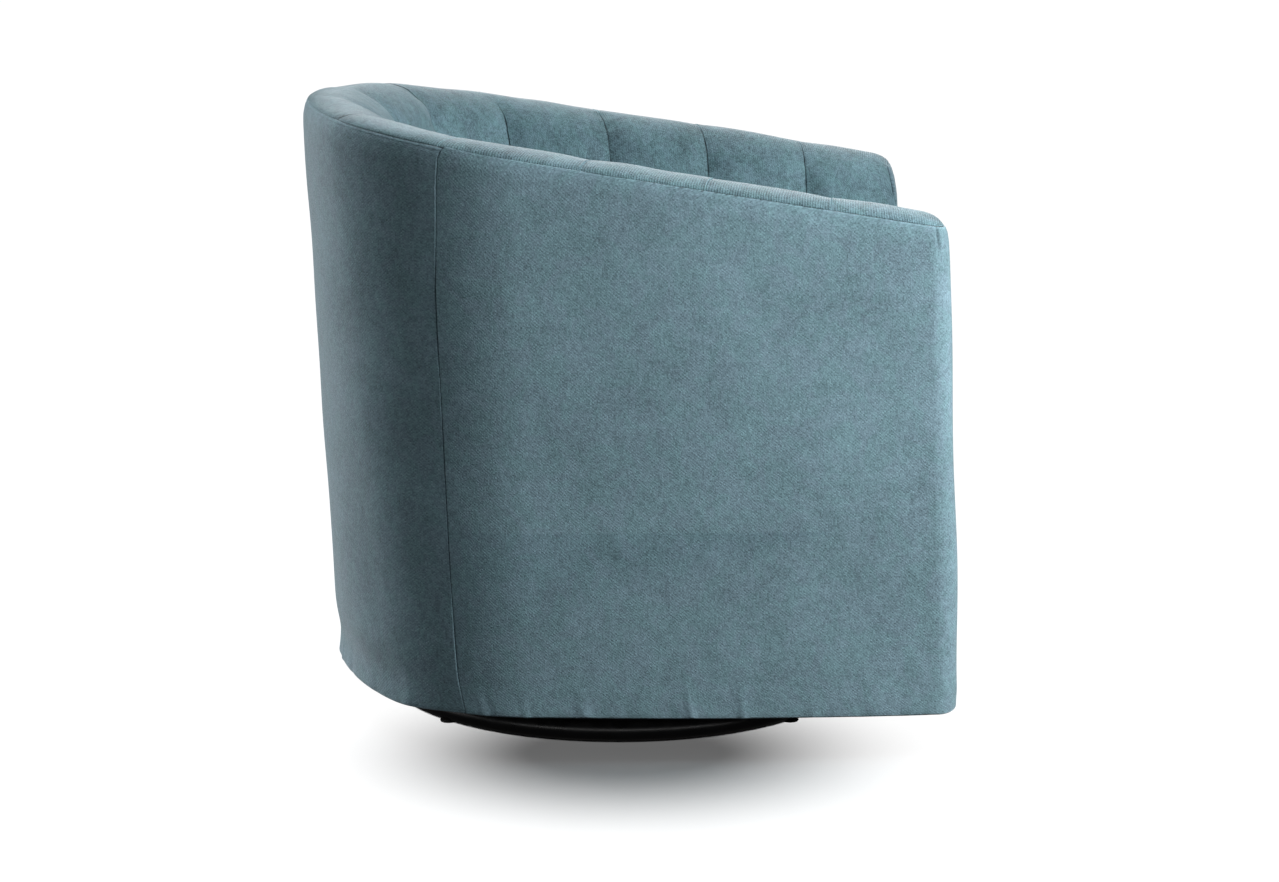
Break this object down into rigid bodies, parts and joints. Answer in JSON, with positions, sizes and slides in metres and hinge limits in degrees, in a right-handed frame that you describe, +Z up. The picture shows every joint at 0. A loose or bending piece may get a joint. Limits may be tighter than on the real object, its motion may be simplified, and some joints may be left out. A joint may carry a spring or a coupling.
{
  "type": "swivel barrel chair",
  "caption": "Swivel barrel chair with a channelled inside back that rolls over a sloping rim, plain outside covers, a loose-look box cushion and a black ring base.",
  "frame": {"origin": "on the floor under the swivel's axis, which is within 6 mm of the middle of the footprint", "axes": "+Z up, -Y to the front of the chair, +X to the sitter's left"},
  "size_m": [0.75, 0.8116, 0.7733],
  "materials": {
    "teal_fabric": "brushed chenille, muted teal",
    "black_cambric": "non-woven dust cloth",
    "birch_plywood": "raw",
    "black_steel": "satin black powder coat",
    "glide_plastic": "matte",
    "spring_steel": "drawn wire",
    "zinc_steel": "zinc plated"
  },
  "bodies": {
    "base": {"base_bar_front": "black_steel", "base_bar_rear": "black_steel", "base_glide_1": "glide_plastic", "base_glide_2": "glide_plastic", "base_glide_3": "glide_plastic", "base_glide_4": "glide_plastic", "base_ring": "black_steel", "lower_plate_screw_1": "zinc_steel", "lower_plate_screw_2": "zinc_steel", "lower_plate_screw_3": "zinc_steel", "lower_plate_screw_4": "zinc_steel", "swivel_lower_plate": "zinc_steel", "swivel_pivot_rivet": "zinc_steel"},
    "ball_cage": {"swivel_ball_cage": "zinc_steel"},
    "chair": {"bottom_frame": "birch_plywood", "channel_pad_01": "teal_fabric", "channel_pad_02": "teal_fabric", "channel_pad_03": "teal_fabric", "channel_pad_04": "teal_fabric", "channel_pad_05": "teal_fabric", "channel_pad_06": "teal_fabric", "channel_pad_07": "teal_fabric", "channel_pad_08": "teal_fabric", "channel_pad_09": "teal_fabric", "channel_pad_10": "teal_fabric", "channel_pad_11": "teal_fabric", "channel_pad_12": "teal_fabric", "channel_pad_13": "teal_fabric", "deck_pad": "black_cambric", "dust_cover": "black_cambric", "front_arm_post_left": "birch_plywood", "front_arm_post_right": "birch_plywood", "front_border": "teal_fabric", "front_seat_rail": "birch_plywood", "outside_arm_cover_left": "teal_fabric", "outside_arm_cover_right": "teal_fabric", "outside_back_cover": "teal_fabric", "rear_post_centre": "birch_plywood", "rear_post_left": "birch_plywood", "rear_post_right": "birch_plywood", "seat_cushion": "teal_fabric", "seat_frame": "birch_plywood", "seat_spring_1": "spring_steel", "seat_spring_2": "spring_steel", "seat_spring_3": "spring_steel", "seat_spring_4": "spring_steel", "seat_spring_5": "spring_steel", "swivel_rail_front": "birch_plywood", "swivel_rail_rear": "birch_plywood", "swivel_upper_plate": "zinc_steel", "top_rail_back": "birch_plywood", "top_rail_left": "birch_plywood", "top_rail_right": "birch_plywood", "upper_plate_screw_1": "zinc_steel", "upper_plate_screw_2": "zinc_steel", "upper_plate_screw_3": "zinc_steel", "upper_plate_screw_4": "zinc_steel"}
  },
  "joints": [
    {"name": "swivel", "type": "hinge", "parent": "base", "child": "chair", "pos_m": [0, 0, 0], "axis": [0, 0, 1], "continuous": true},
    {"name": "cage_roll", "type": "hinge", "parent": "base", "child": "ball_cage", "pos_m": [0, 0, 0], "axis": [0, 0, 1], "continuous": true}
  ],
  "couplings": [
    {"joint": "cage_roll", "follows": "swivel", "ratio": 0.5}
  ]
}
